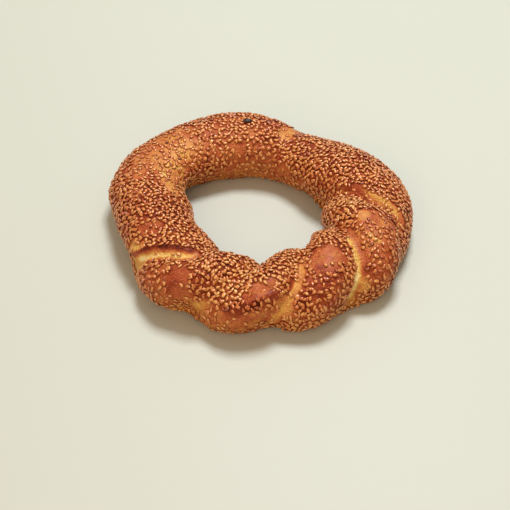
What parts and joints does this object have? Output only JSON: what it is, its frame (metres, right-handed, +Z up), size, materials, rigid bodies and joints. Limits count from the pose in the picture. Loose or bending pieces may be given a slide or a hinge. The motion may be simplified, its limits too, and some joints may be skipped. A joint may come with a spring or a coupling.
{
  "type": "simit",
  "caption": "Ring of twisted sesame bread with a hole through the middle, flat underneath where it was baked.",
  "frame": {"origin": "bottom centre of the ring's box, on the surface it lies on", "axes": "+Z up through the hole, +Y towards the plainer half of the ring, -Y towards the tightly twisted half"},
  "size_m": [0.1626, 0.1686, 0.0317],
  "materials": {
    "crust": "baked golden-brown crust, satin, thickly seeded with sesame"
  },
  "bodies": {
    "root": {"simit": "crust"}
  },
  "joints": []
}
